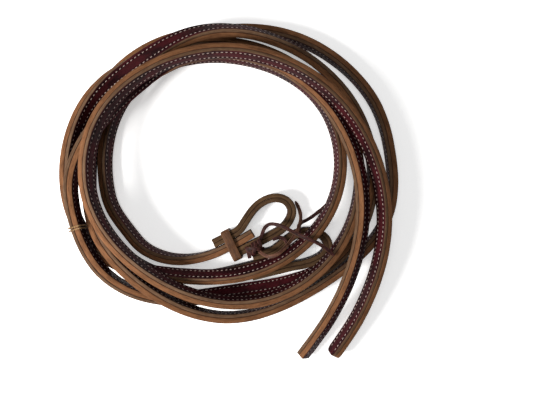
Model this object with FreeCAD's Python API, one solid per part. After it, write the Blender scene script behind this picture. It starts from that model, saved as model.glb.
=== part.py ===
import FreeCAD, Part
import math
import os

os.makedirs("parts", exist_ok=True)

# A pair of split reins of doubled and stitched harness leather, loosely coiled and tied.
# Millimetres, +Z up. The coil lies on the plane z = 0, origin under the middle of the coil's box.

# --- driving dimensions ---
STRAP_WIDTH = 12.7          # 1/2 in strap, its width stands on edge over most of the coil
GRAIN_PLY = 5.0             # outer layer of the doubled strap
BACK_PLY = 3.4              # inner layer
STRAP_THICK = GRAIN_PLY + BACK_PLY
SEAM = -STRAP_THICK / 2 + BACK_PLY   # across the thickness, where the plies meet
ROW_OFFSET = 3.6            # stitch row from the strap's middle line
THREAD_WIDTH = 0.8
THREAD_SUNK = 0.2           # how deep the thread lies in its groove
THREAD_PROUD = 0.12
STATIONS_PER_SPAN = 3       # stations between two route points on the long strap
LOOP_STATIONS = 4
LOOP_SEAM = 0.0             # the bit loop's two plies are alike
LACE_WIDTH = 3.4
LACE_THICK = 1.4
KEEPER_WIDE = 8.5           # along the strap
KEEPER_WALL = 1.8
KEEPER_INNER = (27.1, 13.4) # across the three straps, and upwards
TWINE_D = 1.5
TWINE_PITCH = 2.4

# rein 1: from its free tail to its bit end: x, y, z of the strap's middle, and its roll in degrees
REIN_1_ROUTE = [
    (95.04, -153.77, 7.64, 22.00), (109.91, -131.47, 10.62, 21.40), (122.69, -106.55, 13.71, 19.11), (132.57, -79.74, 16.92, 19.00),
    (138.71, -51.80, 20.20, 20.10), (140.26, -23.46, 22.80, 23.41), (136.83, 4.52, 25.01, 24.87), (128.69, 31.38, 27.39, 21.74),
    (116.13, 56.36, 29.97, 19.32), (99.43, 78.70, 32.56, 16.43), (78.71, 97.41, 33.75, 15.00), (54.65, 111.78, 33.43, 15.00),
    (28.38, 121.43, 33.27, 15.00), (0.77, 125.72, 33.46, 14.65), (-27.31, 123.98, 34.11, 10.67), (-54.66, 116.09, 35.28, 10.00),
    (-79.63, 102.54, 36.98, 11.83), (-100.56, 83.89, 39.21, 15.13), (-115.96, 60.76, 40.66, 16.00), (-124.70, 34.21, 39.12, 16.00),
    (-125.74, 6.36, 37.62, 15.96), (-118.67, -20.08, 36.82, 14.23), (-104.09, -43.40, 36.71, 12.23), (-83.96, -63.41, 36.94, 9.52),
    (-60.31, -79.91, 35.59, 9.60), (-34.53, -92.15, 32.97, 10.00), (-7.59, -98.99, 29.81, 10.00), (19.52, -99.46, 27.36, 10.00),
    (45.83, -93.00, 25.65, 10.00), (70.35, -79.47, 24.45, 10.00), (91.74, -60.17, 21.43, 8.03), (108.11, -36.65, 15.83, 3.80),
    (117.80, -10.21, 10.88, 0.00), (120.82, 17.46, 9.13, 0.00), (116.85, 44.81, 8.16, 0.00), (106.40, 70.56, 7.46, 0.00),
    (90.47, 93.84, 6.99, 0.00), (69.71, 113.41, 6.72, 0.00), (45.28, 128.53, 6.58, 0.00), (18.52, 138.62, 6.53, 0.00),
    (-9.47, 143.00, 6.56, 0.00), (-37.43, 141.48, 6.66, 0.00), (-64.15, 134.18, 6.88, 0.00), (-88.33, 120.95, 7.25, 1.59),
    (-108.58, 101.50, 7.85, 3.73), (-123.64, 77.15, 9.53, 4.96), (-131.82, 49.61, 12.56, 5.00), (-132.47, 20.67, 16.95, 4.93),
    (-129.95, -7.41, 22.38, 3.47), (-122.42, -32.68, 28.25, 2.01), (-106.83, -54.95, 34.06, 2.89), (-86.23, -75.30, 36.02, 0.00),
    (-62.83, -93.33, 33.31, 0.00), (-37.71, -107.27, 27.57, 0.00), (-11.43, -115.05, 21.71, 0.00), (15.38, -114.95, 16.94, 0.00),
    (42.04, -107.79, 13.17, 0.00), (67.91, -96.02, 10.21, 0.00), (92.36, -81.73, 7.82, 0.00), (114.93, -64.96, 6.54, 0.00),
    (134.98, -44.95, 6.47, 0.00), (148.57, -20.98, 6.61, -1.43), (152.87, 6.17, 6.77, -4.00), (150.33, 34.47, 6.79, -4.00),
    (144.90, 62.05, 6.78, -4.00), (134.30, 87.72, 6.78, -4.00), (116.68, 110.37, 6.73, -3.35), (94.94, 128.96, 6.64, -0.63),
    (70.98, 142.81, 6.57, 0.00), (45.11, 151.57, 6.53, 0.00), (17.58, 154.95, 6.48, 0.00), (-10.95, 153.74, 6.48, 0.00),
    (-39.36, 150.03, 6.52, 0.00), (-66.44, 143.30, 6.51, 0.00), (-91.04, 130.72, 6.49, 0.00), (-112.08, 112.86, 6.49, 0.00),
    (-128.40, 90.54, 6.49, 0.00), (-138.87, 64.57, 6.49, 0.00), (-142.96, 36.27, 6.48, 0.00), (-141.13, 7.41, 6.48, 0.00),
    (-132.81, -20.08, 6.48, 0.00), (-117.90, -44.34, 6.69, 0.00), (-97.57, -63.76, 6.44, 0.00), (-73.21, -76.73, 6.48, 0.00),
    (-45.98, -81.22, 6.88, 0.00), (-17.33, -78.03, 7.42, 0.00), (10.83, -71.20, 8.60, 0.00), (37.37, -64.58, 8.60, 0.00),
]
# rein 2, the same way round
REIN_2_ROUTE = [
    (66.53, -154.95, 7.76, -38.00), (82.50, -132.38, 11.95, -39.99), (96.30, -107.94, 16.24, -40.00), (107.43, -82.01, 20.62, -40.00),
    (115.32, -54.91, 23.93, -40.00), (119.46, -27.06, 26.47, -40.00), (119.19, 1.08, 26.58, -40.00), (114.24, 28.82, 24.62, -40.23),
    (104.71, 55.16, 23.04, -44.00), (90.61, 79.13, 21.63, -49.51), (71.89, 99.73, 20.59, -61.53), (48.85, 115.95, 20.06, -71.08),
    (22.57, 126.72, 19.76, -74.94), (-5.57, 131.13, 19.73, -72.98), (-33.40, 128.44, 20.02, -76.72), (-58.17, 118.43, 20.66, -100.07),
    (-80.89, 102.77, 21.66, -125.24), (-102.75, 83.39, 23.07, -149.30), (-122.06, 61.07, 25.34, -168.17), (-136.69, 36.43, 28.76, -180.00),
    (-143.35, 9.89, 31.69, -180.00), (-139.76, -18.04, 33.03, -180.00), (-130.27, -45.98, 33.78, -180.00), (-114.87, -71.02, 33.30, -180.00),
    (-92.84, -89.36, 26.25, -180.00), (-66.52, -98.66, 18.02, -170.37), (-38.51, -99.28, 13.89, -146.20), (-9.79, -95.43, 11.48, -127.20),
    (19.10, -91.42, 9.82, -120.01), (47.68, -87.39, 8.69, -126.75), (75.28, -78.74, 7.82, -157.15), (99.69, -63.98, 6.93, -174.34),
    (118.24, -43.09, 6.95, -180.00), (129.55, -17.43, 7.25, -180.00), (133.73, 10.96, 7.77, -180.00), (131.16, 39.86, 8.59, -180.00),
    (122.24, 67.18, 9.76, -180.00), (107.72, 91.73, 11.32, -185.74), (88.51, 112.80, 13.23, -194.08), (65.48, 129.67, 15.46, -203.95),
    (39.54, 141.67, 17.90, -213.26), (11.86, 148.18, 20.46, -219.99), (-16.20, 148.63, 21.80, -229.90), (-43.29, 142.45, 21.77, -249.85),
    (-68.58, 129.90, 21.96, -273.46), (-93.49, 114.70, 22.46, -299.87), (-117.24, 98.10, 22.82, -327.83), (-135.21, 76.51, 22.22, -344.62),
    (-146.77, 50.63, 20.91, -350.95), (-152.51, 22.53, 19.33, -355.01), (-151.40, -5.74, 17.86, -356.00), (-142.29, -32.19, 17.25, -353.91),
    (-124.62, -54.33, 18.17, -348.68), (-100.40, -68.18, 20.50, -341.80), (-72.46, -74.07, 21.40, -332.05), (-43.39, -77.17, 21.51, -325.00),
    (-14.46, -77.92, 22.49, -325.00), (13.76, -74.26, 23.17, -325.00), (40.53, -64.58, 23.44, -329.53), (64.39, -49.14, 22.50, -336.64),
    (83.67, -28.71, 20.18, -342.68), (96.67, -4.09, 16.65, -346.00), (102.15, 23.47, 13.12, -346.00), (99.97, 51.46, 9.86, -346.26),
    (90.19, 77.18, 7.71, -350.88), (73.10, 98.22, 6.96, -355.00), (50.33, 114.05, 6.94, -355.00), (23.73, 124.59, 7.01, -354.96),
    (-4.70, 129.92, 7.12, -351.81), (-33.04, 129.97, 7.26, -348.03), (-59.75, 124.20, 7.33, -347.02), (-83.40, 111.97, 7.36, -347.00),
    (-102.55, 92.70, 7.40, -347.00), (-115.76, 67.59, 7.49, -347.00), (-121.62, 40.04, 7.65, -347.00), (-121.37, 12.64, 7.72, -347.00),
    (-116.11, -13.24, 7.71, -347.00), (-99.47, -36.28, 7.73, -347.00), (-83.98, -54.71, 7.84, -347.86), (-58.29, -64.22, 8.04, -350.01),
    (-31.37, -62.77, 8.30, -359.63), (-5.21, -53.19, 8.60, -360.00), (19.01, -38.38, 8.60, -360.00),
]
# bit loop of each rein, leg end to leg end
LOOP_1_ROUTE = [
    (19.08, -60.06, 8.60, 0.00), (24.91, -58.65, 8.60, 0.00), (31.72, -57.01, 8.60, 0.00), (38.52, -55.36, 8.60, 0.00),
    (48.93, -46.58, 7.60, 0.00), (57.37, -40.48, 6.35, 0.00), (67.69, -36.73, 6.35, 0.00), (78.00, -37.20, 6.35, 0.00),
    (87.38, -41.89, 6.35, 0.00), (91.13, -50.33, 6.35, 0.00), (87.85, -58.30, 6.35, 0.00), (79.41, -63.92, 6.35, 0.00),
    (67.69, -67.67, 7.60, 0.00), (57.26, -69.04, 8.60, 0.00), (47.54, -71.39, 8.60, 0.00), (37.82, -73.74, 8.60, 0.00),
    (28.10, -76.09, 8.60, 0.00), (18.38, -78.44, 8.60, 0.00),
]
LOOP_2_ROUTE = [
    (-17.60, -48.12, 8.60, 0.00), (-9.57, -44.04, 8.60, 0.00), (-1.55, -39.97, 8.60, 0.00), (6.92, -35.67, 8.60, 0.00),
    (12.84, -25.48, 7.60, 0.00), (20.81, -14.23, 6.35, 0.00), (30.18, -7.20, 6.35, 0.00), (41.43, -4.38, 6.35, 0.00),
    (51.75, -7.66, 6.35, 0.00), (56.90, -16.57, 6.35, 0.00), (54.09, -26.42, 6.35, 0.00), (46.12, -35.32, 7.60, 0.00),
    (31.43, -43.08, 8.60, 0.00), (23.41, -47.15, 8.60, 0.00), (15.38, -51.23, 8.60, 0.00), (7.36, -55.30, 8.60, 0.00),
    (-0.67, -59.38, 8.60, 0.00),
]
LACE_1_LONG = [
    (63.63, -38.23, 14.56), (61.30, -33.14, 13.86), (63.62, -28.89, 11.09), (70.61, -26.29, 7.39),
    (80.03, -20.22, 4.49), (90.82, -11.10, 2.42), (98.59, -3.34, 0.88),
]
LACE_1_ARC = [
    (37.74, -44.18, 15.88), (43.81, -41.16, 15.59), (49.00, -43.57, 15.14), (52.21, -49.15, 15.18),
    (52.80, -54.68, 13.90), (50.39, -59.31, 9.29),
]
LACE_2_LONG = [
    (23.58, -47.56, 18.40), (27.05, -41.93, 17.51), (28.57, -37.08, 17.02), (30.55, -32.22, 17.27),
    (35.59, -28.73, 18.46), (43.87, -30.26, 20.71), (52.11, -33.97, 23.98), (60.06, -38.26, 28.09),
    (68.78, -41.79, 31.10), (77.76, -45.31, 31.23), (86.00, -51.03, 30.02), (92.99, -57.27, 28.82),
]
LACE_2_SIDE = [
    (59.99, -8.54, 0.79), (63.26, -15.08, 5.09), (64.66, -22.35, 9.80), (63.56, -29.33, 14.73),
    (60.44, -36.57, 17.12), (55.14, -44.45, 17.47), (49.31, -51.77, 16.81), (43.16, -57.48, 15.95),
    (36.21, -60.15, 16.55), (30.03, -58.68, 17.42), (24.87, -54.19, 18.40),
]
KEEPER_AT = (-0.66, -49.45)   # middle of the keeper
STACK_DIR = (0.89169, 0.45264)   # the way the straight legs of bit end 2 run
KNOT_AT = (21.20, -51.54, 18.3)
TIE_SPAN = 21.00   # where the twine sits, in spans of rein 2's route


# --- the quadratic B-spline that every route follows (its end points are on the curve) ---
def knots(n):
    return [0.0] * 3 + [float(i) for i in range(1, n - 2)] + [float(n - 2)] * 3


def spline(points, u):
    """Value and first derivative at u in 0 .. len(points) - 2."""
    n = len(points)
    kn = knots(n)
    u = min(max(u, 0.0), n - 2.0)
    k = min(int(math.floor(u)), n - 3) + 2
    dims = len(points[0])
    d = [list(points[k - 2 + j]) for j in range(3)]
    first = None
    for r in (1, 2):
        for j in range(2, r - 1, -1):
            low, high = kn[k - 2 + j], kn[k + 1 + j - r]
            a = (u - low) / (high - low)
            if r == 2:
                span = high - low
                first = [(d[2][c] - d[1][c]) * 2.0 / span for c in range(dims)]
            d[j] = [(1 - a) * d[j - 1][c] + a * d[j][c] for c in range(dims)]
    return d[2], first


def unit(v):
    length = math.sqrt(sum(c * c for c in v))
    return [c / length for c in v]


def cross(a, b):
    return [a[1] * b[2] - a[2] * b[1], a[2] * b[0] - a[0] * b[2], a[0] * b[1] - a[1] * b[0]]


def station(points, u):
    """Middle, outward thickness direction and width direction of the strap at u."""
    p, t = spline(points, u)
    roll = math.radians(p[3]) if len(p) > 3 else 0.0
    t = unit(t[:3])
    flat = math.hypot(t[0], t[1])
    out = [t[1] / flat, -t[0] / flat, 0.0]
    up = unit(cross(out, t))
    if up[2] < 0:
        up = [-c for c in up]
    c, s = math.cos(roll), math.sin(roll)
    width = [c * up[i] + s * out[i] for i in range(3)]
    thick = [c * out[i] - s * up[i] for i in range(3)]
    return p[:3], thick, width


def solid_of(vertices, facets, merge=False):
    """One closed solid from flat triangles."""
    shape = Part.Shape()
    shape.makeShapeFromMesh(([FreeCAD.Vector(*v) for v in vertices], facets), 1e-4)
    shells = shape.Shells
    solid = Part.Solid(shells[0])
    if solid.Volume < 0:
        solid.reverse()
    if merge:
        solid = solid.removeSplitter()
        solid = solid.Solids[0]
    return solid


def ply(points, n_low, n_high, w_low, w_high, per_span, u0=None, u1=None, merge=False):
    """A flat layer that follows the route: a closed solid of flat facets, cut square at both ends."""
    last = len(points) - 2
    u0 = 0.0 if u0 is None else u0
    u1 = float(last) if u1 is None else u1
    count = max(2, int(round((u1 - u0) * per_span)))
    verts, tris = [], []
    for i in range(count + 1):
        p, n, w = station(points, u0 + (u1 - u0) * i / count)
        for a, b in ((n_low, w_low), (n_high, w_low), (n_high, w_high), (n_low, w_high)):
            verts.append([p[c] + a * n[c] + b * w[c] for c in range(3)])
    for i in range(count):
        o = 4 * i
        for j in range(4):
            k = (j + 1) % 4
            # both faces that touch across the seam are split along the same diagonal
            if j == 3:
                a, b, c, d = o + k, o + j, o + 4 + j, o + 4 + k
                tris += [(a, c, b), (a, d, c)]
            else:
                a, b, c, d = o + j, o + k, o + 4 + k, o + 4 + j
                tris += [(a, b, c), (a, c, d)]
    e = 4 * count
    tris += [(0, 2, 1), (0, 3, 2), (e, e + 1, e + 2), (e, e + 2, e + 3)]
    return solid_of(verts, tris, merge)


def box_section(points, thick, width, per_span, **kw):
    return ply(points, -thick / 2, thick / 2, -width / 2, width / 2, per_span, **kw)


def stitching(points, per_span, u0, u1):
    """Two rows on each face: four flat threads that lie in their grooves."""
    half = STRAP_THICK / 2
    made = []
    for low, high in ((half - THREAD_SUNK, half + THREAD_PROUD), (-half - THREAD_PROUD, -half + THREAD_SUNK)):
        for row in (-ROW_OFFSET, ROW_OFFSET):
            made.append(ply(points, low, high, row - THREAD_WIDTH / 2, row + THREAD_WIDTH / 2, per_span, u0, u1))
    return Part.makeCompound(made)


def least_radius(points, per_span=8):
    """Length of the route and its least radius of curvature."""
    last = len(points) - 2
    us = [i / per_span for i in range(last * per_span + 1)]
    ps = [spline(points, u)[0][:3] for u in us]
    total, least = 0.0, 1e9
    for a, b in zip(ps, ps[1:]):
        total += math.dist(a, b)
    for a, b, c in zip(ps, ps[1:], ps[2:]):
        x, y, z = math.dist(a, b), math.dist(b, c), math.dist(a, c)
        s = (x + y + z) / 2
        area = math.sqrt(max(s * (s - x) * (s - y) * (s - z), 1e-12))
        least = min(least, x * y * z / (4 * area))
    return total, least


def export(name, shape):
    shape.exportStep("parts/" + name + ".step")
    print(name, "solids", len(shape.Solids), "valid", shape.isValid(), "volume mm3", round(shape.Volume, 1))


for name, route in (("rein 1", REIN_1_ROUTE), ("rein 2", REIN_2_ROUTE), ("bit loop 1", LOOP_1_ROUTE), ("bit loop 2", LOOP_2_ROUTE),
                    ("lace 1 long", LACE_1_LONG), ("lace 1 arc", LACE_1_ARC), ("lace 2 long", LACE_2_LONG), ("lace 2 side", LACE_2_SIDE)):
    total, least = least_radius(route)
    print(name, "length mm", round(total, 1), "least radius mm", round(least, 1))

# --- the two doubled straps ---
half_w = STRAP_WIDTH / 2
for number, route in ((1, REIN_1_ROUTE), (2, REIN_2_ROUTE)):
    last = float(len(route) - 2)
    export("rein_%d_grain_ply" % number, ply(route, SEAM, STRAP_THICK / 2, -half_w, half_w, STATIONS_PER_SPAN))
    export("rein_%d_back_ply" % number, ply(route, -STRAP_THICK / 2, SEAM, -half_w, half_w, STATIONS_PER_SPAN))
    export("rein_%d_stitching" % number, stitching(route, STATIONS_PER_SPAN, 0.25, last - 1.6))

# --- bit loops: a doubled strap folded round, its two legs either side of the rein's end ---
for number, route in ((1, LOOP_1_ROUTE), (2, LOOP_2_ROUTE)):
    export("rein_%d_bit_loop_outer" % number, ply(route, LOOP_SEAM, STRAP_THICK / 2, -half_w, half_w, LOOP_STATIONS, merge=True))
    export("rein_%d_bit_loop_inner" % number, ply(route, -STRAP_THICK / 2, LOOP_SEAM, -half_w, half_w, LOOP_STATIONS, merge=True))
    export("rein_%d_bit_loop_stitching" % number, stitching(route, LOOP_STATIONS, 0.4, len(route) - 2.4))

# --- keeper: a leather ring round the three straps of bit end 2, free to slide ---
wide, high = KEEPER_INNER
outer = Part.makeBox(KEEPER_WIDE, wide + 2 * KEEPER_WALL, high + 2 * KEEPER_WALL, FreeCAD.Vector(-KEEPER_WIDE / 2, -wide / 2 - KEEPER_WALL, 0))
outer = outer.makeFillet(1.6, [e for e in outer.Edges if abs(e.tangentAt(e.FirstParameter).x) > 0.9])
inner = Part.makeBox(KEEPER_WIDE + 2, wide, high, FreeCAD.Vector(-KEEPER_WIDE / 2 - 1, -wide / 2, KEEPER_WALL))
keeper = outer.cut(inner)
keeper.rotate(FreeCAD.Vector(0, 0, 0), FreeCAD.Vector(0, 0, 1), math.degrees(math.atan2(STACK_DIR[1], STACK_DIR[0])))
keeper.translate(FreeCAD.Vector(KEEPER_AT[0], KEEPER_AT[1], 0))
export("rein_2_keeper", keeper)

# --- tie laces: flat latigo laces with their tails ---
export("rein_1_tie_lace", Part.makeCompound([box_section(LACE_1_LONG, LACE_WIDTH, LACE_THICK, 4), box_section(LACE_1_ARC, LACE_WIDTH, LACE_THICK, 4)]))
knot = Part.makeBox(15, 11, 5.6, FreeCAD.Vector(-7.5, -5.5, -2.8))
knot = knot.makeChamfer(1.6, knot.Edges)
knot.rotate(FreeCAD.Vector(0, 0, 0), FreeCAD.Vector(0, 0, 1), math.degrees(math.atan2(STACK_DIR[1], STACK_DIR[0])))
knot.translate(FreeCAD.Vector(*KNOT_AT))
export("rein_2_lace_knot", knot)
export("rein_2_tie_lace", Part.makeCompound([box_section(LACE_2_LONG, LACE_WIDTH, LACE_THICK, 4), box_section(LACE_2_SIDE, LACE_WIDTH, LACE_THICK, 4)]))

# --- coil tie: two turns of twine round one strand of rein 2 ---
p, n, w = station(REIN_2_ROUTE, TIE_SPAN)
along = unit(cross(n, w))
r = TWINE_D / 2
a, b = STRAP_THICK / 2 + 0.3 + r, STRAP_WIDTH / 2 + 0.3 + r
corner = 1.6
turns = []
for shift in (-TWINE_PITCH / 2, TWINE_PITCH / 2):
    base = [p[c] + shift * along[c] for c in range(3)]

    def at(x, y, base=base):
        return FreeCAD.Vector(*[base[c] + x * n[c] + y * w[c] for c in range(3)])
    q = corner * (1 - math.sqrt(0.5))
    edges = []
    ring = [((a - corner, b), (a - q, b - q), (a, b - corner)), ((a, -b + corner), (a - q, -b + q), (a - corner, -b)),
            ((-a + corner, -b), (-a + q, -b + q), (-a, -b + corner)), ((-a, b - corner), (-a + q, b - q), (-a + corner, b))]
    for i, (s, m, e) in enumerate(ring):
        edges.append(Part.Arc(at(*s), at(*m), at(*e)).toShape())
        edges.append(Part.LineSegment(at(*e), at(*ring[(i + 1) % 4][0])).toShape())
    path = Part.Wire(edges)
    start = at(0, b)
    # the section is made in the middle of the straight run along the top
    profile = Part.Wire([Part.Circle(start, FreeCAD.Vector(*n), r).toShape()])
    mid = [Part.LineSegment(at(0, b), at(a - corner, b)).toShape()]
    for i, (s, m, e) in enumerate(ring):
        mid.append(Part.Arc(at(*s), at(*m), at(*e)).toShape())
        if i < 3:
            mid.append(Part.LineSegment(at(*e), at(*ring[i + 1][0])).toShape())
    mid.append(Part.LineSegment(at(*ring[3][2]), at(0, b)).toShape())
    turns.append(Part.Wire(mid).makePipeShell([profile], True, False))
print("twine turns", [t.isValid() for t in turns], [round(t.Volume, 1) for t in turns])
export("coil_tie", Part.makeCompound([t if t.ShapeType == "Solid" else t.Solids[0] if t.Solids else Part.Solid(t) for t in turns]))
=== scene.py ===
import math

import bpy
import numpy as np
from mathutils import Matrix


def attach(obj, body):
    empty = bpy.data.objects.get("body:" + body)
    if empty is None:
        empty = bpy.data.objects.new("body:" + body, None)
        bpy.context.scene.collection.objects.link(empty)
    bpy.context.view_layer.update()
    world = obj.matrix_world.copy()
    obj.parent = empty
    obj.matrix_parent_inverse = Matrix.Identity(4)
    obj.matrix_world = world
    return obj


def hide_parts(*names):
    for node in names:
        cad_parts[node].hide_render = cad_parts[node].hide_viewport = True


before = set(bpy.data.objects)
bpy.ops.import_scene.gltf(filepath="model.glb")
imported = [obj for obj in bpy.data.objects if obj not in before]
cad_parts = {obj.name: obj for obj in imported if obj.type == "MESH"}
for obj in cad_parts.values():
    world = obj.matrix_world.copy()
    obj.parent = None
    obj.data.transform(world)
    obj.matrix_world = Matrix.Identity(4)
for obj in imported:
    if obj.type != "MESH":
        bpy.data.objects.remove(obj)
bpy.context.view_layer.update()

# --- camera: straight down on the coil ---
cam_data = bpy.data.cameras.new("camera")
cam_data.sensor_fit = "HORIZONTAL"
cam_data.sensor_width = 36.0
cam_data.lens = 36.0 * 400.0 / 533.0
cam_data.clip_start = 0.01
cam_data.clip_end = 20.0
camera = bpy.data.objects.new("camera", cam_data)
camera.location = (0.03206, -0.00720, 0.388)
bpy.context.scene.collection.objects.link(camera)
bpy.context.scene.camera = camera

# --- routes: the control points of part.py's splines, in metres, with the strap's roll in degrees ---
REIN_1_ROUTE = [
    (0.09504, -0.15377, 0.00764, 22.00), (0.10991, -0.13147, 0.01062, 21.40), (0.12269, -0.10655, 0.01371, 19.11), (0.13257, -0.07974, 0.01692, 19.00),
    (0.13871, -0.05180, 0.02020, 20.10), (0.14026, -0.02346, 0.02280, 23.41), (0.13683, 0.00452, 0.02501, 24.87), (0.12869, 0.03138, 0.02739, 21.74),
    (0.11613, 0.05636, 0.02997, 19.32), (0.09943, 0.07870, 0.03256, 16.43), (0.07871, 0.09741, 0.03375, 15.00), (0.05465, 0.11178, 0.03343, 15.00),
    (0.02838, 0.12143, 0.03327, 15.00), (0.00077, 0.12572, 0.03346, 14.65), (-0.02731, 0.12398, 0.03411, 10.67), (-0.05466, 0.11609, 0.03528, 10.00),
    (-0.07963, 0.10254, 0.03698, 11.83), (-0.10056, 0.08389, 0.03921, 15.13), (-0.11596, 0.06076, 0.04066, 16.00), (-0.12470, 0.03421, 0.03912, 16.00),
    (-0.12574, 0.00636, 0.03762, 15.96), (-0.11867, -0.02008, 0.03682, 14.23), (-0.10409, -0.04340, 0.03671, 12.23), (-0.08396, -0.06341, 0.03694, 9.52),
    (-0.06031, -0.07991, 0.03559, 9.60), (-0.03453, -0.09215, 0.03297, 10.00), (-0.00759, -0.09899, 0.02981, 10.00), (0.01952, -0.09946, 0.02736, 10.00),
    (0.04583, -0.09300, 0.02565, 10.00), (0.07035, -0.07947, 0.02445, 10.00), (0.09174, -0.06017, 0.02143, 8.03), (0.10811, -0.03665, 0.01583, 3.80),
    (0.11780, -0.01021, 0.01088, 0.00), (0.12082, 0.01746, 0.00913, 0.00), (0.11685, 0.04481, 0.00816, 0.00), (0.10640, 0.07056, 0.00746, 0.00),
    (0.09047, 0.09384, 0.00699, 0.00), (0.06971, 0.11341, 0.00672, 0.00), (0.04528, 0.12853, 0.00658, 0.00), (0.01852, 0.13862, 0.00653, 0.00),
    (-0.00947, 0.14300, 0.00656, 0.00), (-0.03743, 0.14148, 0.00666, 0.00), (-0.06415, 0.13418, 0.00688, 0.00), (-0.08833, 0.12095, 0.00725, 1.59),
    (-0.10858, 0.10150, 0.00785, 3.73), (-0.12364, 0.07715, 0.00953, 4.96), (-0.13182, 0.04961, 0.01256, 5.00), (-0.13247, 0.02067, 0.01695, 4.93),
    (-0.12995, -0.00741, 0.02238, 3.47), (-0.12242, -0.03268, 0.02825, 2.01), (-0.10683, -0.05495, 0.03406, 2.89), (-0.08623, -0.07530, 0.03602, 0.00),
    (-0.06283, -0.09333, 0.03331, 0.00), (-0.03771, -0.10727, 0.02757, 0.00), (-0.01143, -0.11505, 0.02171, 0.00), (0.01538, -0.11495, 0.01694, 0.00),
    (0.04204, -0.10779, 0.01317, 0.00), (0.06791, -0.09602, 0.01021, 0.00), (0.09236, -0.08173, 0.00782, 0.00), (0.11493, -0.06496, 0.00654, 0.00),
    (0.13498, -0.04495, 0.00647, 0.00), (0.14857, -0.02098, 0.00661, -1.43), (0.15287, 0.00617, 0.00677, -4.00), (0.15033, 0.03447, 0.00679, -4.00),
    (0.14490, 0.06205, 0.00678, -4.00), (0.13430, 0.08772, 0.00678, -4.00), (0.11668, 0.11037, 0.00673, -3.35), (0.09494, 0.12896, 0.00664, -0.63),
    (0.07098, 0.14281, 0.00657, 0.00), (0.04511, 0.15157, 0.00653, 0.00), (0.01758, 0.15495, 0.00648, 0.00), (-0.01095, 0.15374, 0.00648, 0.00),
    (-0.03936, 0.15003, 0.00652, 0.00), (-0.06644, 0.14330, 0.00651, 0.00), (-0.09104, 0.13072, 0.00649, 0.00), (-0.11208, 0.11286, 0.00649, 0.00),
    (-0.12840, 0.09054, 0.00649, 0.00), (-0.13887, 0.06457, 0.00649, 0.00), (-0.14296, 0.03627, 0.00648, 0.00), (-0.14113, 0.00741, 0.00648, 0.00),
    (-0.13281, -0.02008, 0.00648, 0.00), (-0.11790, -0.04434, 0.00669, 0.00), (-0.09757, -0.06376, 0.00644, 0.00), (-0.07321, -0.07673, 0.00648, 0.00),
    (-0.04598, -0.08122, 0.00688, 0.00), (-0.01733, -0.07803, 0.00742, 0.00), (0.01083, -0.07120, 0.00860, 0.00), (0.03737, -0.06458, 0.00860, 0.00),
]
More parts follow.
